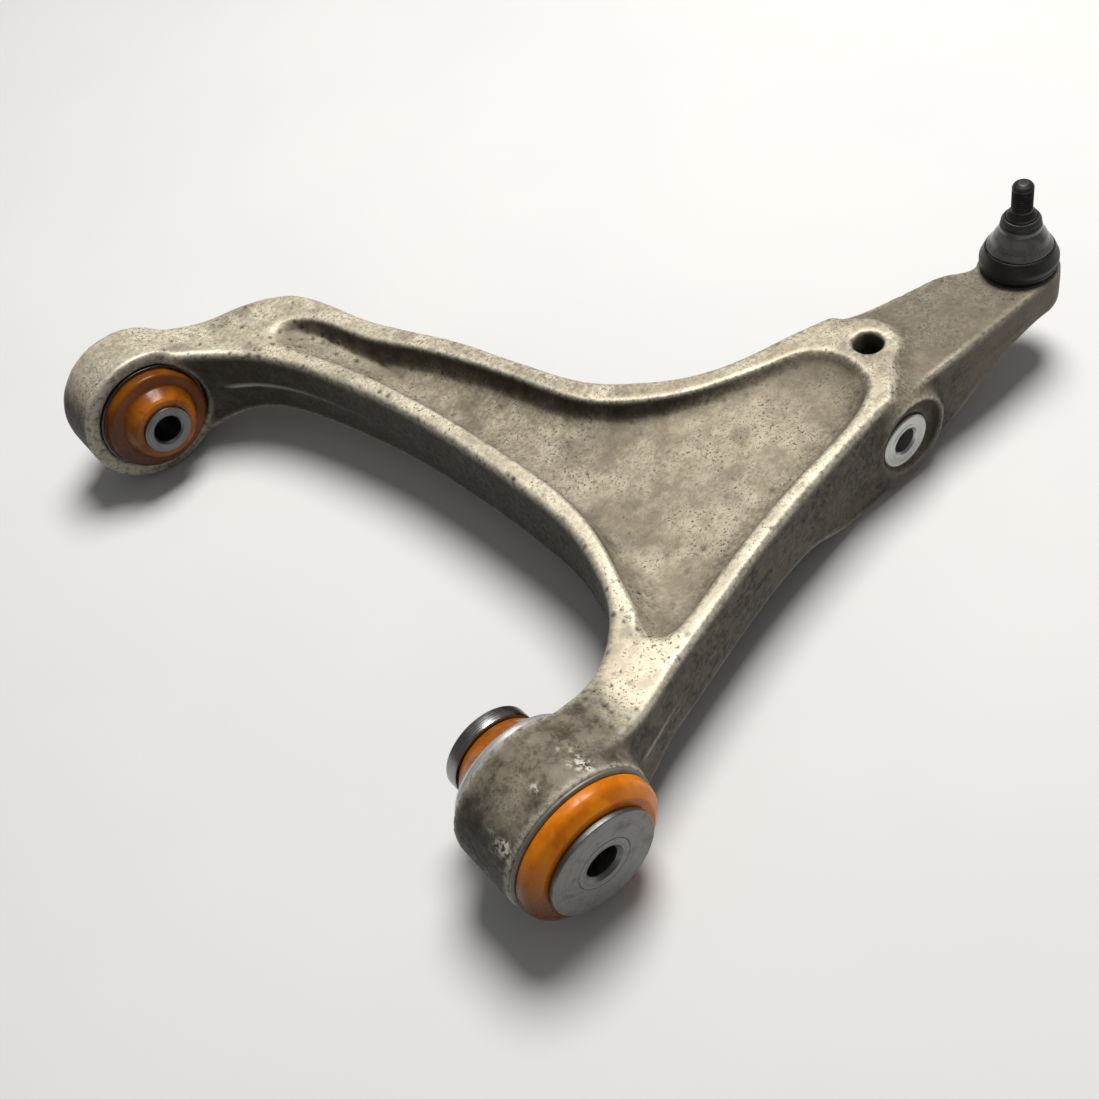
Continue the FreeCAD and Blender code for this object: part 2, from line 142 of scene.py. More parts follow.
def ball_arc(radius, start, end, steps=16):
    """Profile points on the ball joint's sphere, angles in degrees from its equator."""
    points = []
    for i in range(steps + 1):
        angle = math.radians(start + (end - start) * i / steps)
        points.append((radius * math.cos(angle), BALL_Z + radius * math.sin(angle), 0))
    return points


def tool_rings(r0, r1, h, pitch=0.85, depth=0.035):
    """Profile points across a turned face: rings left by the lathe tool."""
    count = max(2, int(abs(r1 - r0) / pitch))
    sign = 1 if h < 0 else -1
    return [(r0 + (r1 - r0) * i / count, h + sign * depth * (i % 2), 0)
            for i in range(count + 1)]


def lathe(name, profile, origin, axis, radius=0.35, segments=SEGMENTS, steps=5, shape=None):
    """Turn a closed profile, in millimetres from origin, into a smooth solid.

    shape(r, h, angle) may move a point; it returns the new (r, h).
    """
    loop = rounded(profile, radius, steps)
    verts = []
    faces = []
    n = len(loop)
    for s in range(segments):
        angle = 2 * math.pi * s / segments
        c, d = math.cos(angle), math.sin(angle)
        for p in loop:
            r, h = p.x, p.y
            if shape:
                r, h = shape(r, h, angle)
            if axis == Y_AXIS:
                v = Vector((r * c, h, r * d))
            else:
                v = Vector((r * c, r * d, h))
            verts.append(origin + v * MM)
        following = ((s + 1) % segments) * n
        for i in range(n):
            j = (i + 1) % n
            faces.append((s * n + i, s * n + j, following + j, following + i))
    obj = new_object(name, verts, faces)
    clean(obj)
    return obj


def clean(obj):
    """Merge points that meet, drop empty faces, turn faces outward, mark sharp edges."""
    bm = bmesh.new()
    bm.from_mesh(obj.data)
    bmesh.ops.remove_doubles(bm, verts=bm.verts, dist=MERGE)
    bmesh.ops.dissolve_degenerate(bm, edges=bm.edges, dist=MERGE * 0.1)
    bmesh.ops.recalc_face_normals(bm, faces=bm.faces)
    bm.to_mesh(obj.data)
    bm.free()
    obj.data.polygons.foreach_set("use_smooth", [True] * len(obj.data.polygons))
    obj.data.set_sharp_from_angle(angle=SHARP)


def apply_modifiers(obj):
    graph = bpy.context.evaluated_depsgraph_get()
    mesh = bpy.data.meshes.new_from_object(obj.evaluated_get(graph))
    old = obj.data
    obj.modifiers.clear()
    obj.data = mesh
    mesh.name = old.name
    bpy.data.meshes.remove(old)


def show(obj, materials, body, node):
    """Give a piece its materials and body; it stands for the CAD node of that name."""
    obj.data.materials.clear()
    for mat in materials if isinstance(materials, tuple) else (materials,):
        obj.data.materials.append(mat)
    if body:
        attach(obj, body)
    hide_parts(node)
    return obj


# ---- the casting --------------------------------------------------------------------
VOXEL = 0.0011                      # cell size of the casting's mesh, metres
FILLET_ROUNDS = 100                 # rounds that fill inner corners
FILL = 0.9                          # how much of a hollow one round fills
SPOT_FILL = 0.1                     # the same on the machined area round the damper bolt
EDGE_ROUNDS = 5                     # rounds that soften outer edges
SOFTEN = 0.6                        # how far one round goes towards the average
BROAD_ROUNDS = 16                   # rounds behind the edge and hollow masks

SPOT_FACE = 0.0225                  # radius of the machined area, metres
SPOT_NEAR = 0.046                   # it ends at this y
FRONT_BORE = 0.0325                 # radii just outside the two pivot bores and the eye
REAR_BORE = 0.031
EYE_BORE = 0.0158
BORE_HALF = 0.03                    # more than half the length of a pivot bore
EYE_TOP = 0.0145                    # just above the eye's rim

PARTING_HALF = 1.5                  # half width of the mould's parting ridge, mm
PARTING_HIGH = 0.35                 # its height, mm
PARTING_SWAY = 0.6                  # how far it wanders up and down, mm
WALL_SWELL = 0.9                    # the walls' draft: how far they swell at the parting, mm
WALL_SPAN = 17.0                    # over this height either side of it, mm
ROUGH_HIGH = 0.09                   # height of the cast skin's unevenness, mm
SWELL_HIGH = 0.2                    # height of its broad swelling, mm

# noise over the casting: feature size in metres, seed, octaves
ROUGH_NOISE = (0.016, 1, 4)
SWELL_NOISE = (0.060, 2, 2)
FLAKE_NOISE = (0.014, 5, 4)
GRIME_NOISE = (0.035, 9, 3)
SEED_SHIFT = (7.13, 3.71, 5.39)     # each seed moves the noise by this much
NOISE_GAIN = 0.6
NOISE_STEP = 2.0
NOISE_SPREAD = 2.2                  # this many standard deviations count as 1

# bands for ramp(): a mask is 0 at the first value and 1 at the second
WALL_NORMAL = (0.22, 0.12)          # upward part of the normal: 1 on upright walls
WALL_RADIUS = (0.037, 0.044)        # distance from the pivots' axis: clear of both bosses
WALL_END = (0.345, 0.325)           # x: the parting stops short of the eye
TOP_NORMAL = (0.2, 0.7)             # upward part of the normal: 1 on upper faces
SKY_NORMAL = (0.15, 0.8)            # the same, softer
CLEAN_NORMAL = (0.25, 0.70)
LEE_NORMAL = (0.9, 0.45)            # 1 on faces that don't look up
INBOARD_NORMAL = (0.0, 0.6)         # part of the normal towards -x
PROUD = (0.15, 0.8)                 # mm above the broad surroundings
HOLLOW = (0.05, 0.6)                # mm below them
FETTLED_X = (0.080, 0.045)          # x: the parting ridge is ground off beside the bosses
TIP_X = (0.270, 0.300)              # x: the ball-joint tip
WEB_Z = (0.0178, 0.0160)            # z: the web lies below the rims
WEB_X = (0.060, 0.075)              # x: where the web starts
CORNER_X = (0.190, 0.240)           # x: the web's corner towards the tip
BOSS_X = (0.052, 0.026)             # x and y: the front boss
BOSS_Y = (0.10, 0.03)
LIP_Y = (0.006, -0.014)             # y: towards the front face of that boss
FLAKES = (0.25, 0.75)
REAR_LEG_Y = (0.20, 0.29)           # y: the rear leg
NECK_FROM_X = (0.036, 0.050)        # x: the front leg's neck
NECK_TO_X = (0.125, 0.090)

SPOT_EDGE = 0.3                     # machined area: how much wear its edges show
SPOT_SHADE = 0.55                    # and how much painted shade it holds
TIP_DULL = 0.7                      # how much the tip's edges are dulled
BOSS_WANDER = 0.008                 # how far grime shifts the boss mask, metres
LIP_WANDER = 0.004
# the web's corner: soil and painted shade
CORNER_SOIL_AND_SHADE = 0.75
PIT_MASK = 2.2                      # mask strength for each mm of pit depth


class Surface:
    """A mesh as arrays, for smoothing and displacing many points at once."""

    def __init__(self, obj):
        self.mesh = obj.data
        n = len(self.mesh.vertices)
        self.co = np.empty(n * 3)
        self.mesh.vertices.foreach_get("co", self.co)
        self.co = self.co.reshape(-1, 3)
        edges = np.empty(len(self.mesh.edges) * 2, dtype=np.int64)
        self.mesh.edges.foreach_get("vertices", edges)
        edges = edges.reshape(-1, 2)
        self.a = np.concatenate([edges[:, 0], edges[:, 1]])
        self.b = np.concatenate([edges[:, 1], edges[:, 0]])
        self.degree = np.maximum(np.bincount(self.a, minlength=n), 1)[:, None]

    def average(self, values):
        out = np.empty_like(values)
        for k in range(values.shape[1]):
            out[:, k] = np.bincount(self.a, values[self.b, k], minlength=len(values))
        return out / self.degree

    def normals(self):
        self.write()
        out = np.empty(len(self.co) * 3)
        self.mesh.vertex_normals.foreach_get("vector", out)
        return out.reshape(-1, 3)

    def write(self):
        self.mesh.vertices.foreach_set("co", self.co.ravel())
        self.mesh.update()

    def attribute(self, name, values):
        layer = self.mesh.attributes.new(name, "FLOAT", "POINT")
        layer.data.foreach_set("value", np.clip(values, 0, 1).astype(np.float32))


def ramp(values, low, high):
    """0 below low, 1 above high, smooth between; low may be the larger."""
    t = np.clip((values - low) / (high - low), 0, 1)
    return t * t * (3 - 2 * t)


def noise_field(co, size, seed, octaves):
    """Smooth noise, about -1 to 1, at each point; size is the largest feature in metres."""
    shift = Vector([seed * step for step in SEED_SHIFT])
    out = np.empty(len(co))
    for i, p in enumerate(co):
        out[i] = noise.fractal(Vector(p) / size + shift, NOISE_GAIN, NOISE_STEP, octaves)
    return (out - out.mean()) / (NOISE_SPREAD * out.std())


PIT_SEED = 11
PIT_REACH = 2.1                     # radius of the widest pit, mm
PIT_UPWARD = 0.55                   # pits lie where the normal points up this much
PIT_WALL = 1.5                      # a higher power gives a narrower floor
PIT_WIDTHS = (0.6, 1.0)             # shares of the widest radius, before squaring
PIT_DEPTHS = (0.4, 1.0)             # shares of the group's deepest
PIT_GROUPS = (                      # how many, smallest x, largest x, deepest, mm
    (150, 14.0, 95.0, 0.60),
    (260, 40.0, 360.0, 0.30),
)


def pits(skin, normal):
    """Casting pits: small craters scattered over the upper faces, more of them inboard."""
    draw = np.random.default_rng(PIT_SEED)
    co = skin.co
    upward = np.flatnonzero(normal[:, 2] > PIT_UPWARD)
    depth = np.zeros(len(co))
    for count, x_low, x_high, deepest in PIT_GROUPS:
        x = co[upward, 0] / MM
        pool = upward[(x > x_low) & (x < x_high)]
        for spot in draw.choice(pool, count, replace=False):
            reach = draw.uniform(*PIT_WIDTHS) ** 2 * PIT_REACH * MM
            near = np.flatnonzero(np.abs(co[:, 0] - co[spot, 0]) < reach)
            away = np.linalg.norm(co[near] - co[spot], axis=1) / reach
            hole = np.clip(1 - away ** 2, 0, 1) ** PIT_WALL
            depth[near] = np.maximum(depth[near], hole * draw.uniform(*PIT_DEPTHS) * deepest)
    return depth


def even_mesh():
    """The casting's solid as an even mesh of small cells."""
    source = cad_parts["arm_casting"]
    obj = bpy.data.objects.new("arm_body", source.data.copy())
    bpy.context.scene.collection.objects.link(obj)
    remesh = obj.modifiers.new("voxels", "REMESH")
    remesh.mode = "VOXEL"
    remesh.voxel_size = VOXEL
    apply_modifiers(obj)
    return obj


def machined_spot(co):
    """True on the flat area round the damper bolt, which stays crisp."""
    return (np.hypot(co[:, 0] - DAMPER.x, co[:, 2] - DAMPER.z) < SPOT_FACE) & \
        (co[:, 1] < SPOT_NEAR)


def machined_bores(co):
    """True in the two pivot bores and in the ball joint's eye, which stay smooth."""
    x, y, z = co.T
    radius = np.hypot(x, z)
    front = (radius < FRONT_BORE) & (np.abs(y) < BORE_HALF)
    rear = (radius < REAR_BORE) & (np.abs(y - REAR.y) < BORE_HALF)
    eye = (np.hypot(x - BALL.x, y - BALL.y) < EYE_BORE) & (z < EYE_TOP)
    return front | rear | eye


def soften(skin, spot):
    """Fill the inner corners, as a mould's radii do, then take the sharpness off all edges."""
    fill = np.where(spot, SPOT_FILL, FILL)[:, None]
    for _ in range(FILLET_ROUNDS):
        normal = skin.normals()
        step = skin.average(skin.co) - skin.co
        lift = np.einsum("ij,ij->i", step, normal)[:, None]
        skin.co += np.where(lift > 0, fill * lift * normal, 0.0)
    for _ in range(EDGE_ROUNDS):
        skin.co += SOFTEN * (skin.average(skin.co) - skin.co)


def standing_proud(skin, normal):
    """How far each point stands out of its broad surroundings, in mm."""
    broad = skin.co.copy()
    for _ in range(BROAD_ROUNDS):
        broad = skin.average(broad)
    return np.einsum("ij,ij->i", skin.co - broad, normal) / MM


def raise_relief(skin, normal, spot, holes):
    """Move the skin to its cast relief; returns the parting ridge, 0 to 1."""
    x, _, z = skin.co.T
    free = np.where(machined_bores(skin.co), 0.0, 1.0)
    rough = noise_field(skin.co, *ROUGH_NOISE)
    swell = noise_field(skin.co, *SWELL_NOISE)
    # the mould's halves meet along the walls: these swell to a fine ridge there
    on_wall = ramp(np.abs(normal[:, 2]), *WALL_NORMAL) * ramp(np.hypot(x, z), *WALL_RADIUS)
    on_wall *= np.where(spot, 0.0, 1.0) * ramp(x, *WALL_END)
    height = np.abs(z / MM + PARTING_SWAY * swell)
    ridge = np.clip(1 - height / PARTING_HALF, 0, 1) * on_wall
    draft = np.clip(1 - height / WALL_SPAN, 0, 1) * on_wall
    lift = rough * ROUGH_HIGH + swell * SWELL_HIGH + ridge * PARTING_HIGH
    lift = lift + draft * WALL_SWELL - holes
    skin.co += normal * (free * lift)[:, None] * MM
    return ridge


def wear_masks(skin, normal, spot, proud, ridge, grime, flake):
    """Masks for the material: worn edges that also carry a painted highlight, dirty hollows,
    soiled and clean areas, and painted shade.
    """
    x, y, z = skin.co.T
    up = normal[:, 2]
    tip = ramp(x, *TIP_X)
    dull = np.where(spot, SPOT_EDGE, 1.0) * (1 - TIP_DULL * tip)
    # edges that stand proud: worn, and lightened further as a painted highlight
    skin.attribute("edge", ramp(proud, *PROUD) * dull)
    skin.attribute("fettled", ridge * ramp(x, *FETTLED_X))
    # dirt in the hollows; on the damper bolt's machined area, painted shade
    skin.attribute("hollow", ramp(-proud, *HOLLOW) + np.where(spot, SPOT_SHADE, 0.0))
    skin.attribute("upward", ramp(up, *SKY_NORMAL))
    skin.attribute("sunk", ramp(z, *WEB_Z) * ramp(x, *WEB_X) * ramp(up, *TOP_NORMAL))
    # the front boss is soiled all over and flakes bright along its lip
    boss = ramp(x + BOSS_WANDER * grime, *BOSS_X) * ramp(y, *BOSS_Y)
    skin.attribute("boss", boss)
    lip = ramp(y + LIP_WANDER * grime, *LIP_Y) * ramp(up, *TOP_NORMAL)
    skin.attribute("flake", boss * lip * ramp(flake, *FLAKES))
    # painted shade on the walls that look inboard; soil on the tip, and soil with painted shade
    # on a corner of the web
    skin.attribute("inboard", ramp(-normal[:, 0], *INBOARD_NORMAL) * ramp(up, *LEE_NORMAL))
    corner = ramp(x, *CORNER_X) * ramp(z, *WEB_Z) * ramp(up, *TOP_NORMAL)
    skin.attribute("soil", tip + CORNER_SOIL_AND_SHADE * corner)
    neck = ramp(x, *NECK_FROM_X) * ramp(x, *NECK_TO_X)
    # clean skin on the neck and rear leg, also a painted highlight where light falls on them
    skin.attribute("clean", np.maximum(ramp(y, *REAR_LEG_Y), neck) * ramp(up, *CLEAN_NORMAL))
    skin.attribute("grime", 0.5 + 0.5 * grime)


def casting():
    obj = even_mesh()
    skin = Surface(obj)
    spot = machined_spot(skin.co)
    soften(skin, spot)
    normal = skin.normals()
    proud = standing_proud(skin, normal)
    flake = noise_field(skin.co, *FLAKE_NOISE)
    grime = noise_field(skin.co, *GRIME_NOISE)
    holes = pits(skin, normal)
    ridge = raise_relief(skin, normal, spot, holes)
    wear_masks(skin, normal, spot, proud, ridge, grime, flake)
    skin.attribute("pit", holes * PIT_MASK)
    skin.co = np.clip(skin.co, *[np.array(corner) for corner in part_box("arm_casting")])
    skin.write()
    obj.data.polygons.foreach_set("use_smooth", [True] * len(obj.data.polygons))
    return obj


# ---- turned steel and urethane pieces ------------------------------------------------
# A profile is a list of (radius, height along the axis, corner radius) in mm.
BOLT_HOLE = 7.5                     # radius of the hole in both pivot sleeves
FRONT_END, BACK_END = -32, 43       # ends of the front sleeve and faces of its washers
REAR_END = 32.5                     # half length of the rear sleeve
WAVY_FROM = 14                      # the urethane is true inside this radius
WAVE_RATE = 0.35                    # its waves along the axis, radians for each mm


def wavy(amount, lobes, phase=0.0):
    """A soft piece is never quite round: its outer surface swells by lobes."""
    def shape(r, h, angle):
        if r > WAVY_FROM:
            r += amount * math.sin(lobes * angle + phase) * math.sin(WAVE_RATE * h + phase)
        return r, h
    return shape


def front_sleeve():
    profile = [(BOLT_HOLE, -30.3, 0.2), (9.2, FRONT_END, 0.25)]
    profile += tool_rings(9.8, 11.7, FRONT_END, 0.5)
    profile += [(12.44, FRONT_END, 0.4), (12.44, BACK_END, 0.4)]
    profile += tool_rings(11.7, 9.8, BACK_END, 0.5)
    profile += [(9.2, BACK_END, 0.25), (BOLT_HOLE, 41.3, 0.2)]
    return lathe("front_sleeve_steel", profile, FRONT, Y_AXIS)


def front_washer():
    profile = [(12.5, FRONT_END, 0.5)] + tool_rings(13.3, 24.0, FRONT_END)
    profile += [(25, FRONT_END, 0.7), (25, -29.2, 0.7), (12.5, -29.2, 0.1)]
    return lathe("front_washer_steel", profile, FRONT, Y_AXIS)


def back_washer():
    profile = [(12.5, 36.5, 0.1), (20.6, 36.5, 0.6), (20.6, BACK_END, 0.9)]
    profile += tool_rings(19.2, 13.3, BACK_END) + [(12.5, BACK_END, 0.4)]
    return lathe("back_washer_steel", profile, FRONT, Y_AXIS)


def front_shell():
    profile = [(29.25, -19.5, 0.3), (33.6, -19.6, 0.4), (34.6, -19.1, 0.5), (34.6, -18.0, 0.3),
               (31.0, -17.9, 0.2), (31.0, 21.9, 0.6), (30.4, 23.2, 0.5), (29.25, 23.2, 0.3)]
    return lathe("front_shell_steel", profile, FRONT, Y_AXIS)


def front_urethane_outer():
    profile = [(12.56, 0, 0.1), (12.56, -28.9, 0.4), (28.2, -28.9, 1.6),
               (33.3, -25.2, 5.0), (33.35, -20.4, 0.6), (32.8, -19.68, 0.3),
               (29.15, -19.65, 0), (29.15, 0, 0.1)]
    return lathe("front_urethane_outer", profile, FRONT, Y_AXIS, shape=wavy(0.07, 3))


def front_urethane_inner():
    profile = [(12.56, 0.02, 0.1), (29.15, 0.02, 0.1), (29.15, 23.25, 0), (25.6, 23.3, 0.2),
               (25.6, 26.4, 1.6), (19.6, 35.6, 1.0), (18.8, 36.2, 0.4), (12.56, 36.2, 0.3)]
    return lathe("front_urethane_inner", profile, FRONT, Y_AXIS, shape=wavy(0.06, 4, 1.0))


def rear_shell():
    profile = [(28.25, -16.5, 0.25), (29.6, -16.5, 0.5), (29.6, 16.5, 0.5), (28.25, 16.5, 0.25)]
    return lathe("rear_shell_steel", profile, REAR, Y_AXIS)


def rear_urethane(name, side):
    """Half of the rear bush's urethane: a stepped flange, then a cone round the sleeve."""
    profile = [(13.06, 0.02, 0.1), (28.15, 0.02, 0.1), (28.15, 16.45, 0.1), (27.6, 16.6, 0.1),
               (27.6, 22.3, 2.0), (20.8, 22.3, 1.9), (17.8, 29.4, 2.0), (16.6, 31.0, 0.9),
               (13.06, 31.0, 0.2)]
    turned = [(p[0], side * p[1], p[2]) for p in profile]
    return lathe(name, turned, REAR, Y_AXIS, shape=wavy(0.06, 3, side))


def rear_sleeve():
    profile = [(BOLT_HOLE, -31.4, 0.2), (8.6, -REAR_END, 0.25)]
    profile += tool_rings(9.1, 12.3, -REAR_END, 0.5)
    profile += [(13.0, -REAR_END, 0.45), (13.0, REAR_END, 0.45)]
    profile += tool_rings(12.3, 9.1, REAR_END, 0.5)
    profile += [(8.6, REAR_END, 0.25), (BOLT_HOLE, 31.4, 0.2)]
    return lathe("rear_sleeve_steel", profile, REAR, Y_AXIS)


def damper_insert(name, y0, y1):
    profile = [(6.2, y0 + 1.2, 0.2), (7.4, y0, 0.3), (8.9, y0, 0.15), (9.2, y0 + 0.3, 0.15)]
    profile += [(12.6, y0 + 0.3, 0.3), (13.1, y0, 0.2), (13.8, y0 + 0.6, 0.3)]
    profile += [(13.8, y1 - 0.6, 0.3), (13.2, y1, 0.3), (7.4, y1, 0.3), (6.2, y1 - 1.2, 0.2)]
    return lathe(name, profile, DAMPER, Y_AXIS)


# ---- ball joint -------------------------------------------------------------------------
THREAD_FROM, THREAD_TO = 46.8, 58.6
THREAD_PITCH = 1.25
THREAD_DEPTH = 0.62
THREAD_INSIDE = 4.9                 # radius that the thread lies outside of
GROOVE_HALF = 0.42                  # half width of the groove, in pitches
FADE_IN, FADE_OUT = 1.2, 0.8        # lengths over which the groove fades
STUD_ROWS = 84                      # rows of points along the thread
BALL_RADIUS = 12.0
NECK_RADIUS = 5.5


def threaded(r, h, angle):
    """Cuts the stud's thread, fading out at both of its ends."""
    if r < THREAD_INSIDE or h < THREAD_FROM or h > THREAD_TO:
        return r, h
    turn = (h / THREAD_PITCH - angle / (2 * math.pi)) % 1.0
    groove = max(0.0, 1.0 - abs(turn - 0.5) / GROOVE_HALF)
    fade = min(1.0, (h - THREAD_FROM) / FADE_IN, (THREAD_TO - h) / FADE_OUT)
    return r - THREAD_DEPTH * groove * fade, h


def stud():
    neck = math.degrees(math.acos(NECK_RADIUS / BALL_RADIUS))
    step = (THREAD_TO - THREAD_FROM) / STUD_ROWS
    thread = [(5.0, THREAD_FROM + step * i, 0) for i in range(STUD_ROWS + 1)]
    profile = ball_arc(BALL_RADIUS, -90, neck, 28)
    profile += [(NECK_RADIUS, 24, 1.0), (6.7, 34, 1.5)]
    profile += [(7.3, 41.5, 0.8), (6.9, 44.1, 0.8), (5.0, 46.3, 0.5)] + thread
    profile += [(5.0, 58.9, 0.8), (4.2, 60.3, 1.2), (2.6, 61.3, 1.2), (0, 61.5, 0)]
    return lathe("ball_stud_steel", profile, BALL, Z_AXIS, 0.3, 96, shape=threaded)


def ring():
    profile = [(12.68, 14.02, 0), (12.06, 15.6, 0.1), (10.95, 15.6, 0.1), (10.35, 16.65, 0),
               (9.75, 17.5, 0.2), (10.2, 18.2, 0.2), (14.5, 25.8, 0.3), (15.5, 26.0, 0.3),
               (16.1, 25.6, 0.5), (16.9, 24.0, 0.8), (18.0, 21.4, 1.2), (18.5, 20.2, 1.0),
               (18.5, 18.2, 0.5), (18.2, 17.9, 0.2), (18.2, 17.5, 0.2), (18.45, 17.2, 0.2),
               (18.4, 16.4, 0.6), (17.3, 15.5, 0.4), (17.3, 14.05, 0.3), (15.4, 14.05, 0.1)]
    return lathe("ball_housing_ring", profile, BALL, Z_AXIS)


BOOT_SEAM = 32.15                   # height at which the boot's two bands meet


def boot_lower():
    """Foot of the dust boot: a bead on the ring, then a flare."""
    profile = [(13.6, 26.12, 0.1), (15.2, 26.12, 0.4), (15.2, 27.0, 0.9), (13.55, 29.0, 2.5),
               (12.25, BOOT_SEAM, 0), (11.25, BOOT_SEAM, 0), (12.6, 29.2, 1.5)]
    return lathe("boot_foot", profile, BALL, Z_AXIS, steps=8)


def boot_upper():
    profile = [(11.25, BOOT_SEAM, 0), (12.25, BOOT_SEAM, 0), (9.75, 36.4, 0.6),
               (9.75, 38.4, 0.7), (9.1, 38.98, 0.4), (7.6, 38.98, 0.2), (7.9, 36.5, 1.0)]
    return lathe("boot_cone", profile, BALL, Z_AXIS, steps=8)


def boot_collar():
    """Top lip of the boot, held on the stud by two turns of spring wire."""
    profile = [(7.36, 39.02, 0.1), (9.0, 39.02, 0.4), (9.4, 39.6, 0.35), (9.05, 40.2, 0.15),
               (9.3, 40.7, 0.35), (9.0, 41.3, 0.2), (8.2, 42.5, 0.6), (7.36, 42.75, 0.2)]
    return lathe("boot_lip", profile, BALL, Z_AXIS)


SEAT_RADIUS = 13.06                 # hollow of the cup
SEAT_RIM = 3.8                      # height of its rim above the ball's middle
SLOTS = 6                           # grease slots in the lining
SLOT_DEPTH = 0.3
SLOT_HALF = 0.16                    # half width of a slot, as a sine
LINING_MIDDLE = 12.5                # radius between the lining's two faces


def seat():
    rim = math.degrees(math.asin(SEAT_RIM / SEAT_RADIUS))
    profile = [(0, -3.55, 0), (15.35, -3.55, 0.6), (15.35, 13.95, 0.4)]
    profile += [(12.9, 13.95, 0.2)] + ball_arc(SEAT_RADIUS, rim, -90, 26)
    return lathe("ball_seat_cup", profile, BALL, Z_AXIS)


def slotted(r, h, angle):
    """Grease slots in the outside of the lining."""
    if math.hypot(r, h - BALL_Z) > LINING_MIDDLE:
        r -= SLOT_DEPTH * max(0.0, 1 - abs(math.sin(SLOTS / 2 * angle)) / SLOT_HALF)
    return r, h


def liner():
    profile = ball_arc(12.98, -37.5, 5.0, 12) + ball_arc(12.08, 5.3, -40.5, 12)
    return lathe("ball_lining_ring", profile, BALL, Z_AXIS, shape=slotted)


# ---- materials ------------------------------------------------------------------------
SLANT = 0.7                         # share of x and of z in a slope of about 45 degrees


class Paint:
    """A node material under construction: short calls that return sockets."""

    def __init__(self, name, color, rough, metal=0.0, **constants):
        self.mat = bpy.data.materials.new(name)
        self.mat.use_nodes = True
        self.tree = self.mat.node_tree
        self.shader = self.tree.nodes["Principled BSDF"]
        self.set("Base Color", (*color, 1))
        self.set("Roughness", rough)
        self.set("Metallic", metal)
        for socket, value in constants.items():
            self.set(socket.replace("_", " "), value)
        self.place = self.node("ShaderNodeTexCoord").outputs["Object"]
        self.bumps = []

    def set(self, socket, value):
        self.shader.inputs[socket].default_value = value

    def node(self, kind, **settings):
        made = self.tree.nodes.new(kind)
        for key, value in settings.items():
            setattr(made, key, value)
        return made

    def feed(self, socket, value):
        if hasattr(value, "is_output"):
            self.tree.links.new(value, socket)
        else:
            socket.default_value = value

    def math(self, operation, a, b=0.0, clamp=False):
        made = self.node("ShaderNodeMath", operation=operation, use_clamp=clamp)
        self.feed(made.inputs[0], a)
        self.feed(made.inputs[1], b)
        return made.outputs[0]

    def noise(self, scale, detail=4.0, rough=0.6, place=None, warp=0.0):
        """Noise about 0.5; scale is features per metre."""
        made = self.node("ShaderNodeTexNoise")
        self.feed(made.inputs["Vector"], place or self.place)
        self.feed(made.inputs["Scale"], scale)
        self.feed(made.inputs["Detail"], detail)
        self.feed(made.inputs["Roughness"], rough)
        self.feed(made.inputs["Distortion"], warp)
        return made.outputs["Fac"]

    def span(self, value, low, high, to_low=0.0, to_high=1.0):
        """A smooth step from to_low at low to to_high at high."""
        made = self.node("ShaderNodeMapRange", interpolation_type="SMOOTHSTEP")
        self.feed(made.inputs["Value"], value)
        self.feed(made.inputs["From Min"], low)
        self.feed(made.inputs["From Max"], high)
        self.feed(made.inputs["To Min"], to_low)
        self.feed(made.inputs["To Max"], to_high)
        return made.outputs["Result"]

    def mix(self, amount, a, b):
        """Colour a at 0, colour b at 1."""
        made = self.node("ShaderNodeMix", data_type="RGBA")
        self.feed(made.inputs[0], amount)
        self.feed(made.inputs[6], (*a, 1) if isinstance(a, tuple) else a)
        self.feed(made.inputs[7], (*b, 1) if isinstance(b, tuple) else b)
        return made.outputs[2]

    def attribute(self, name):
        return self.node("ShaderNodeAttribute", attribute_name=name).outputs["Fac"]

    def lower_side(self, low, high):
        """0 to 1 towards the lower inboard side of the pivot axis; low and high in metres."""
        split = self.node("ShaderNodeSeparateXYZ")
        self.feed(split.inputs[0], self.place)
        inboard = self.math("MULTIPLY", split.outputs["X"], -SLANT)
        down = self.math("MULTIPLY", split.outputs["Z"], -SLANT)
        return self.span(self.math("ADD", inboard, down), low, high)

    def axis_distance(self, centre, axis):
        """Distance from a turning axis, and the height along it."""
        split = self.node("ShaderNodeSeparateXYZ")
        self.feed(split.inputs[0], self.place)
        across = [("X", centre.x), ("Z", centre.z)] if axis == Y_AXIS else \
            [("X", centre.x), ("Y", centre.y)]
        a = self.math("SUBTRACT", split.outputs[across[0][0]], across[0][1])
        b = self.math("SUBTRACT", split.outputs[across[1][0]], across[1][1])
        square = self.math("ADD", self.math("MULTIPLY", a, a), self.math("MULTIPLY", b, b))
        return self.math("SQRT", square), split.outputs["Y" if axis == Y_AXIS else "Z"]

    def bump(self, height, strength, distance):
        made = self.node("ShaderNodeBump")
        made.inputs["Strength"].default_value = strength
        made.inputs["Distance"].default_value = distance
        self.feed(made.inputs["Height"], height)
        if self.bumps:
            self.feed(made.inputs["Normal"], self.bumps[-1])
        self.bumps.append(made.outputs["Normal"])

    def finish(self, color=None, rough=None, metal=None):
        for socket, value in (("Base Color", color), ("Roughness", rough), ("Metallic", metal)):
            if value is not None:
                self.feed(self.shader.inputs[socket], value)
        if self.bumps:
            self.feed(self.shader.inputs["Normal"], self.bumps[-1])
        return self.mat


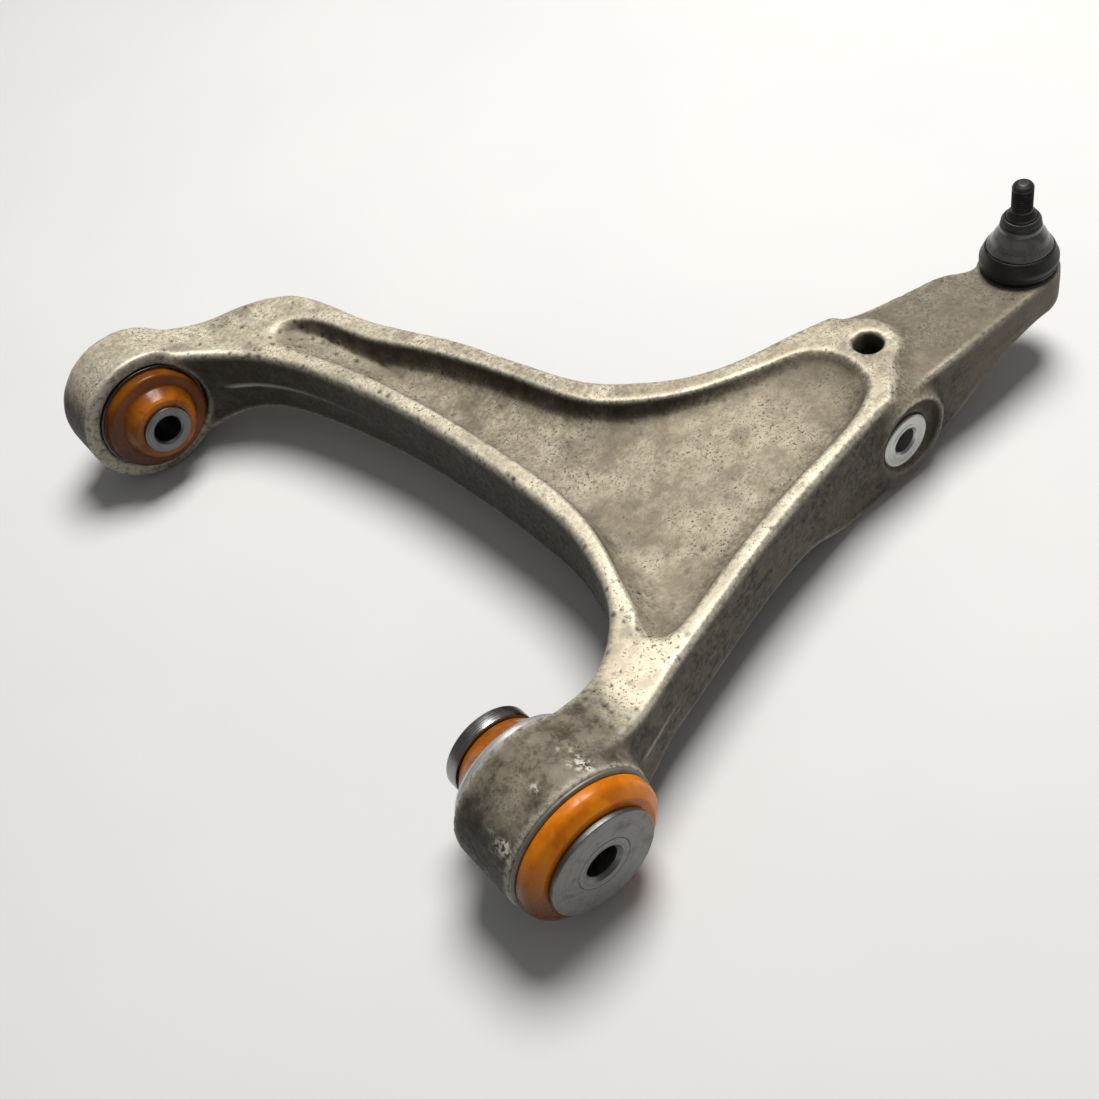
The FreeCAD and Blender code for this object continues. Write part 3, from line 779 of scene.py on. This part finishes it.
# Colours of the casting, linear; a pair is the darkest and the lightest of a patchy layer.
TOP_SKIN = (0.40, 0.345, 0.25), (0.68, 0.615, 0.48)
# the walls' colours are dirt and painted shade: far darker than the top skin, so that upright
# walls look shaded
WALL_SKIN_AND_SHADE = (0.038, 0.033, 0.024), (0.140, 0.123, 0.092)
WALL_STAIN_AND_SHADE = (0.050, 0.043, 0.032)
CLEAN_SKIN_AND_HIGHLIGHT = (0.80, 0.725, 0.565)
WEB_FILM = (0.205, 0.172, 0.124), (0.43, 0.374, 0.282)
TIP_SOIL_AND_CORNER_SHADE = (0.155, 0.128, 0.094)
GRAIN = (0.10, 0.085, 0.062)
SPECKS = (0.05, 0.042, 0.031)
BOSS_BROWN = (0.052, 0.043, 0.031), (0.175, 0.150, 0.113)
GRIME = (0.12, 0.10, 0.075)
INBOARD_PAINTED_SHADE = (0.026, 0.023, 0.017)
GROUND_OFF = (0.55, 0.51, 0.43)
FLAKE_BARE = (0.66, 0.62, 0.54)
HOLLOW_DIRT_AND_SPOT_SHADE = (0.05, 0.042, 0.03)
WORN_EDGE_AND_HIGHLIGHT = (0.70, 0.65, 0.54)
PIT_FLOOR = (0.030, 0.024, 0.017)

CASTING_MASKS = ("edge", "hollow", "pit", "upward", "sunk", "flake", "grime", "boss",
                 "inboard", "soil", "clean", "fettled")
CASTING_NOISES = (                  # name, features per metre, detail, roughness, warp
    ("blotch", 45, 5, 0.62, 0.4),
    ("grain", 420, 5, 0.7, 0.0),
    ("speck", 800, 3, 0.6, 0.0),
    ("streak", 150, 6, 0.72, 0.8),
    ("patch", 95, 6, 0.75, 0.0),
)


def bare_skin(p, mask, texture):
    """Light skin on top; dark skin on the walls, which is dirt and painted shade; lighter clean
    skin on the neck and rear leg, partly a painted highlight; a brown film in the sunk web.
    """
    skin = p.mix(p.span(texture["blotch"], 0.36, 0.66), *TOP_SKIN)
    wall = p.mix(p.span(texture["streak"], 0.38, 0.62), *WALL_SKIN_AND_SHADE)
    wall = p.mix(p.span(texture["blotch"], 0.45, 0.66, 0.0, 0.5), wall, WALL_STAIN_AND_SHADE)
    # painted shade: upright walls take the dark wall colours, faces that look up take the light
    # skin
    color = p.mix(mask["upward"], wall, skin)
    washed = p.math("MULTIPLY", mask["clean"], p.span(texture["blotch"], 0.36, 0.64, 0.30, 0.70))
    # clean skin, lighter still as a painted highlight on the neck and rear leg
    color = p.mix(washed, color, CLEAN_SKIN_AND_HIGHLIGHT)
    stain = p.math("ADD", p.math("MULTIPLY", texture["patch"], 0.65),
                   p.math("MULTIPLY", texture["blotch"], 0.35))
    film = p.mix(p.span(stain, 0.38, 0.60), *WEB_FILM)
    return p.mix(p.math("MULTIPLY", mask["sunk"], 0.75), color, film)


def fine_marks(p, mask, texture, color):
    """Fine grain, fainter on clean skin, and dark specks where the skin is blotched."""
    fine = p.math("MULTIPLY", p.span(texture["grain"], 0.58, 0.42, 0.0, 0.45),
                  p.span(mask["clean"], 0.0, 1.0, 1.0, 0.60))
    color = p.mix(fine, color, GRAIN)
    dots = p.math("MULTIPLY", p.span(texture["speck"], 0.57, 0.63),
                  p.span(texture["blotch"], 0.40, 0.60))
    return p.mix(p.math("MULTIPLY", dots, 0.85), color, SPECKS)


def boss_grime_and_shade(p, mask, texture, color, rusty):
    """Brown on the front boss, scattered grime, and painted shade on the walls that look
    inboard.
    """
    brown = p.mix(p.span(texture["patch"], 0.42, 0.60), *BOSS_BROWN)
    color = p.mix(rusty, color, brown)
    color = p.mix(p.span(mask["grime"], 0.66, 0.95, 0.0, 0.45), color, GRIME)
    # painted shade: walls that look towards -x and not up are darkened
    lee = p.math("MULTIPLY", mask["inboard"], p.span(texture["patch"], 0.35, 0.65, 0.92, 0.70))
    return p.mix(lee, color, INBOARD_PAINTED_SHADE)


def wear(p, mask, color, chip, dirt, bright):
    """Ground and flaked metal, dirt in the corners with painted shade round the damper bolt,
    bright edges that are both worn and a painted highlight, dark pits.
    """
    color = p.mix(p.math("MULTIPLY", mask["fettled"], 0.75), color, GROUND_OFF)
    color = p.mix(chip, color, FLAKE_BARE)
    # dirt in the hollows, and painted shade round the damper bolt
    color = p.mix(p.math("MULTIPLY", dirt, 0.8), color, HOLLOW_DIRT_AND_SPOT_SHADE)
    # worn edges, lightened further as a painted highlight
    color = p.mix(p.math("MULTIPLY", bright, 0.5), color, WORN_EDGE_AND_HIGHLIGHT)
    return p.mix(p.math("MULTIPLY", mask["pit"], 0.92), color, PIT_FLOOR)


def cast_alloy():
    p = Paint("cast_alloy", (0.5, 0.46, 0.38), 0.45, 0.4, Specular_IOR_Level=0.22)
    mask = {name: p.attribute(name) for name in CASTING_MASKS}
    texture = {name: p.noise(scale, detail, rough, warp=warp)
               for name, scale, detail, rough, warp in CASTING_NOISES}
    dull = p.math("MULTIPLY", mask["soil"], p.span(texture["streak"], 0.30, 0.62, 0.95, 0.65))
    rusty = p.math("MULTIPLY", mask["boss"], p.span(texture["blotch"], 0.30, 0.62, 1.0, 0.75))
    chip = p.math("MULTIPLY", mask["flake"], p.span(texture["grain"], 0.44, 0.52))
    dirt = p.math("MULTIPLY", mask["hollow"], p.span(texture["grain"], 0.3, 0.6, 0.55, 1.0))
    bright = p.math("MULTIPLY", mask["edge"], p.span(texture["grain"], 0.36, 0.55, 0.25, 1.0))
    # soil on the tip; soil and painted shade on the web's corner
    color = p.mix(dull, bare_skin(p, mask, texture), TIP_SOIL_AND_CORNER_SHADE)
    color = fine_marks(p, mask, texture, color)
    color = boss_grime_and_shade(p, mask, texture, color, rusty)
    color = wear(p, mask, color, chip, dirt, bright)
    # worn edges are smoother, corner dirt is rougher, and all dirt hides the metal
    rough = p.span(texture["grain"], 0.35, 0.65, 0.48, 0.70)
    rough = p.math("SUBTRACT", rough, p.math("MULTIPLY", bright, 0.14))
    rough = p.math("ADD", rough, p.math("MULTIPLY", dirt, 0.25), clamp=True)
    metal = p.span(mask["upward"], 0.0, 1.0, 0.25, 0.48)
    metal = p.math("SUBTRACT", metal, p.math("MULTIPLY", dirt, 0.5))
    metal = p.math("SUBTRACT", metal, p.math("MULTIPLY", dull, 0.4))
    metal = p.math("SUBTRACT", metal, p.math("MULTIPLY", rusty, 0.45), clamp=True)
    p.bump(texture["grain"], 0.35, 0.0006)
    p.bump(texture["speck"], 0.25, 0.0003)
    p.bump(chip, 0.5, 0.0003)
    return p.finish(color, rough, metal)


STAIN = 0.35                        # strength of handling stains on turned steel
STAIN_SHADE = 0.35                  # stains and fine marks are the dark colour times these
MARK_SHADE = 0.4


def turned_metal(name, light, dark, rough, centre, axis, metal=1.0):
    """Steel off the lathe: fine rings about its axis, handling stains, small marks."""
    p = Paint(name, light, rough, metal)
    radius, height = p.axis_distance(centre, axis)
    around = p.node("ShaderNodeCombineXYZ")
    p.feed(around.inputs[0], radius)
    p.feed(around.inputs[1], height)
    rings = p.noise(2600, 3, 0.7, around.outputs[0])
    stains = p.noise(130, 5, 0.65, warp=0.6)
    fine = p.noise(1600, 3, 0.6)
    stained = tuple(STAIN_SHADE * c for c in dark)
    marked = tuple(MARK_SHADE * c for c in dark)
    color = p.mix(p.span(rings, 0.35, 0.65), dark, light)
    color = p.mix(p.span(stains, 0.5, 0.72, 0.0, STAIN), color, stained)
    color = p.mix(p.span(fine, 0.60, 0.72, 0.0, 0.4), color, marked)
    base = p.span(rings, 0.3, 0.7, rough - 0.06, rough + 0.08)
    worn = p.math("ADD", base, p.span(stains, 0.45, 0.7, 0.0, 0.16))
    p.bump(rings, 0.12, 0.0002)
    p.bump(fine, 0.06, 0.0002)
    return p.finish(color, worn)


URETHANE_SMEAR = (0.10, 0.035, 0.008)
URETHANE_RIM_SHADE = (0.085, 0.024, 0.003)
URETHANE_DUST = (0.40, 0.28, 0.16)
URETHANE_PAINTED_SHADE = (0.045, 0.015, 0.005)
SHADE_RIM_RADIUS = (0.0150, 0.0215)       # painted shade on the rim, from the first radius to the second
PAINTED_SHADE_BAND = (-0.004, 0.026)          # and painted shade on the lower inboard side, over this distance
DULL_DUST = (0.20, 0.185, 0.16)     # dust in the scuffs of coats, rubber and plastic


def urethane(name, dark, light, soil, rim_of=None):
    """Polyurethane with smears and dust; rim_of is the middle of a bush whose rim gets painted
    shade.
    """
    p = Paint(name, light, 0.28, 0.0, Subsurface_Weight=0.06,
              Subsurface_Radius=(0.006, 0.002, 0.0005), Subsurface_Scale=0.6,
              Coat_Weight=0.07, Coat_Roughness=0.16, Specular_IOR_Level=0.20)
    cloud = p.noise(60, 4, 0.6, warp=0.5)
    dust = p.noise(900, 4, 0.7)
    smear = p.noise(190, 5, 0.65, warp=0.8)
    color = p.mix(p.span(cloud, 0.35, 0.65), dark, light)
    color = p.mix(p.span(smear, 0.50, 0.72, 0.0, soil), color, URETHANE_SMEAR)
    # painted shade: the bush's outer rim, under the boss's lip, is darkened
    if rim_of is not None:
        radius, _ = p.axis_distance(rim_of, Y_AXIS)
        color = p.mix(p.span(radius, *SHADE_RIM_RADIUS, 0.0, 0.72), color, URETHANE_RIM_SHADE)
    color = p.mix(p.span(dust, 0.62, 0.74, 0.0, 0.30), color, URETHANE_DUST)
    # painted shade: darker towards the lower inboard side
    lee = p.math("MULTIPLY", p.lower_side(*PAINTED_SHADE_BAND), p.span(smear, 0.3, 0.7, 0.95, 0.75))
    color = p.mix(lee, color, URETHANE_PAINTED_SHADE)
    rough = p.math("ADD", p.span(smear, 0.35, 0.7, 0.22, 0.42), p.span(dust, 0.6, 0.75, 0, 0.12))
    p.bump(cloud, 0.10, 0.0008)
    p.bump(dust, 0.06, 0.0002)
    return p.finish(color, rough)


def coated(name, dark, light, rough, speckle, **constants):
    """A coat, rubber or plastic: uneven gloss, fine peel, small dusty scuffs."""
    p = Paint(name, dark, rough, 0.0, **constants)
    cloud = p.noise(90, 4, 0.6, warp=0.5)
    peel = p.noise(1100, 2, 0.5)
    scuff = p.noise(420, 6, 0.75, warp=1.2)
    color = p.mix(p.span(cloud, 0.35, 0.68), dark, light)
    color = p.mix(p.span(scuff, 0.60, 0.74, 0.0, speckle), color, DULL_DUST)
    worn = p.math("ADD", p.span(cloud, 0.3, 0.7, rough - 0.06, rough + 0.1),
                  p.span(scuff, 0.55, 0.72, 0.0, 0.2))
    p.bump(peel, 0.10, 0.0002)
    p.bump(scuff, 0.08, 0.0002)
    return p.finish(color, worn)


ALLOY = cast_alloy()
AMBER = urethane("urethane_amber", (0.52, 0.135, 0.002), (0.70, 0.205, 0.004), 0.30)
# darker copies of the amber: more smears, and painted shade for the halves that sit in the
# bosses' shade
SOILED_SHADED_AMBER = urethane("urethane_soiled_shaded", (0.20, 0.055, 0.003), (0.42, 0.115, 0.005), 0.60)
REAR_SHADED_AMBER = urethane("urethane_rear_shaded", (0.26, 0.068, 0.002), (0.50, 0.140, 0.004), 0.55, REAR)
FRONT_STEEL = turned_metal("machined_steel_front", (0.225, 0.225, 0.215), (0.15, 0.15, 0.145),
                           0.40, FRONT, Y_AXIS)
# a darker copy of the sleeves' steel: painted shade on the rear sleeve
REAR_STEEL_SHADED = turned_metal("machined_steel_rear_shaded", (0.17, 0.175, 0.175), (0.11, 0.115, 0.115),
                          0.38, REAR, Y_AXIS)
DAMPER_STEEL = turned_metal("machined_steel_damper", (0.62, 0.62, 0.60), (0.42, 0.42, 0.41),
                            0.36, DAMPER, Y_AXIS)
BACK_STEEL = turned_metal("machined_steel_back", (0.36, 0.36, 0.35), (0.20, 0.20, 0.195),
                          0.26, FRONT, Y_AXIS)
# a much lighter, less metallic copy of the shell's steel: a painted highlight on its back end
SHELL_STEEL_HIGHLIT = turned_metal("shell_steel_painted_highlight", (0.72, 0.72, 0.71), (0.50, 0.50, 0.49),
                            0.28, FRONT, Y_AXIS, 0.6)
LIP_STEEL = turned_metal("lip_steel", (0.26, 0.245, 0.215), (0.15, 0.14, 0.12),
                         0.50, FRONT, Y_AXIS, 0.5)
DARK_STEEL = turned_metal("dark_steel", (0.10, 0.10, 0.098), (0.05, 0.05, 0.048),
                          0.34, FRONT, Y_AXIS)
STUD_STEEL = turned_metal("stud_steel", (0.060, 0.058, 0.055), (0.028, 0.027, 0.026),
                          0.42, BALL, Z_AXIS, 0.75)
RING_COAT = coated("black_steel", (0.006, 0.006, 0.006), (0.015, 0.0145, 0.0135), 0.40, 0.25,
                   Specular_IOR_Level=0.4)
BOOT = coated("boot_rubber", (0.052, 0.052, 0.046), (0.100, 0.099, 0.088), 0.27, 0.25,
              Coat_Weight=0.2, Coat_Roughness=0.2)
LIP_RUBBER = coated("black_rubber", (0.014, 0.014, 0.014), (0.03, 0.03, 0.028), 0.45, 0.2)
SEAT = coated("seat_plastic", (0.60, 0.59, 0.54), (0.72, 0.71, 0.66), 0.45, 0.2)

# ---- pieces and the bodies that they ride on ---------------------------------------------
show(casting(), ALLOY, "arm", "arm_casting")
# the shell's front lip takes the lip steel, its back end the lighter steel with the painted
# highlight
shell = show(front_shell(), (LIP_STEEL, SHELL_STEEL_HIGHLIT), "arm", "front_bush_shell")
for face in shell.data.polygons:
    face.material_index = 1 if face.center.y > 0 else 0
show(front_urethane_outer(), AMBER, "arm", "front_bush_outer_half")
show(front_urethane_inner(), SOILED_SHADED_AMBER, "arm", "front_bush_inner_half")
show(front_sleeve(), FRONT_STEEL, "front_sleeve", "front_bush_sleeve")
show(front_washer(), FRONT_STEEL, "front_sleeve", "front_face_washer")
show(back_washer(), BACK_STEEL, "front_sleeve", "front_back_washer")
show(rear_shell(), DARK_STEEL, "arm", "rear_bush_shell")
show(rear_urethane("rear_urethane_near", -1), REAR_SHADED_AMBER, "arm", "rear_bush_near_half")
show(rear_urethane("rear_urethane_far", 1), REAR_SHADED_AMBER, "arm", "rear_bush_far_half")
show(rear_sleeve(), REAR_STEEL_SHADED, "rear_sleeve", "rear_bush_sleeve")
for name, node in (("damper_sleeve_near", "damper_insert_near"),
                   ("damper_sleeve_far", "damper_insert_far")):
    low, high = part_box(node)
    show(damper_insert(name, low[1] / MM, high[1] / MM), DAMPER_STEEL, "arm", node)
show(seat(), SEAT, "arm", "ball_seat")
show(liner(), SEAT, "ball_lining", "ball_liner")
show(ring(), RING_COAT, "arm", "housing_ring")
show(stud(), STUD_STEEL, "stud", "ball_stud")
show(boot_collar(), LIP_RUBBER, "boot_top", "boot_collar")
foot = show(boot_lower(), BOOT, None, "boot_lower")
cone = show(boot_upper(), BOOT, None, "boot_upper")
for band in (foot, cone):
    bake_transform(band)

# ---- stage ------------------------------------------------------------------------------
CAMERA_AT = Vector((-0.1110, -0.2862, 0.4867))
HEADING = math.radians(63.5)
DIP = math.radians(48.01)
ROLL = math.radians(-16.69)
LENS = 47.5
SENSOR = 36
NEAREST = 0.01
FLOOR_GAP = 0.0002                  # the floor lies this far below the part, metres
FLOOR_REACH = 4.0
SKY = 0.15                          # strength of the even light from all round
LIGHTS = (                          # name, place, target, size, power, colour
    ("key", (0.72, 0.40, 1.65), (0.15, 0.15, 0), 0.9, 38, (1.0, 0.985, 0.95)),
    ("fill", (-1.2, -1.0, 1.3), (0.15, 0.1, 0), 1.2, 1, (1, 1, 1)),
)


def camera():
    view = Vector((math.cos(HEADING) * math.cos(DIP), math.sin(HEADING) * math.cos(DIP),
                   -math.sin(DIP)))
    right = view.cross(Vector((0, 0, 1))).normalized()
    down = view.cross(right)
    side = right * math.cos(ROLL) - down * math.sin(ROLL)
    under = right * math.sin(ROLL) + down * math.cos(ROLL)
    data = bpy.data.cameras.new("camera")
    data.lens = LENS
    data.sensor_width = SENSOR
    data.clip_start = NEAREST
    cam = bpy.data.objects.new("camera", data)
    turn = Matrix((side, -under, -view)).transposed()
    cam.matrix_world = Matrix.Translation(CAMERA_AT) @ turn.to_4x4()
    bpy.context.scene.collection.objects.link(cam)
    bpy.context.scene.camera = cam


def floor():
    z = cad_box[0][2] - FLOOR_GAP
    r = FLOOR_REACH
    corners = [(-r, -r, z), (r, -r, z), (r, r, z), (-r, r, z)]
    obj = new_object("floor", corners, [(0, 1, 2, 3)], smooth=False)
    p = Paint("floor_paint", (0.74, 0.74, 0.74), 0.9)
    mottle = p.mix(p.span(p.noise(6, 3, 0.5), 0.3, 0.7), (0.73, 0.73, 0.73), (0.75, 0.75, 0.745))
    p.bump(p.noise(240, 3, 0.5), 0.02, 0.0003)
    obj.data.materials.append(p.finish(mottle))


def area_light(name, place, target, size, power, color):
    data = bpy.data.lights.new(name, "AREA")
    data.shape = "DISK"
    data.size = size
    data.energy = power
    data.color = color
    obj = bpy.data.objects.new(name, data)
    bpy.context.scene.collection.objects.link(obj)
    direction = Vector(target) - Vector(place)
    obj.rotation_euler = direction.to_track_quat("-Z", "Y").to_euler()
    obj.location = place


def sky():
    world = bpy.data.worlds.new("world")
    world.use_nodes = True
    background = world.node_tree.nodes["Background"]
    background.inputs["Color"].default_value = (1, 1, 1, 1)
    background.inputs["Strength"].default_value = SKY
    bpy.context.scene.world = world


camera()
floor()
for light in LIGHTS:
    area_light(*light)
sky()
bpy.context.scene.view_settings.view_transform = "Standard"
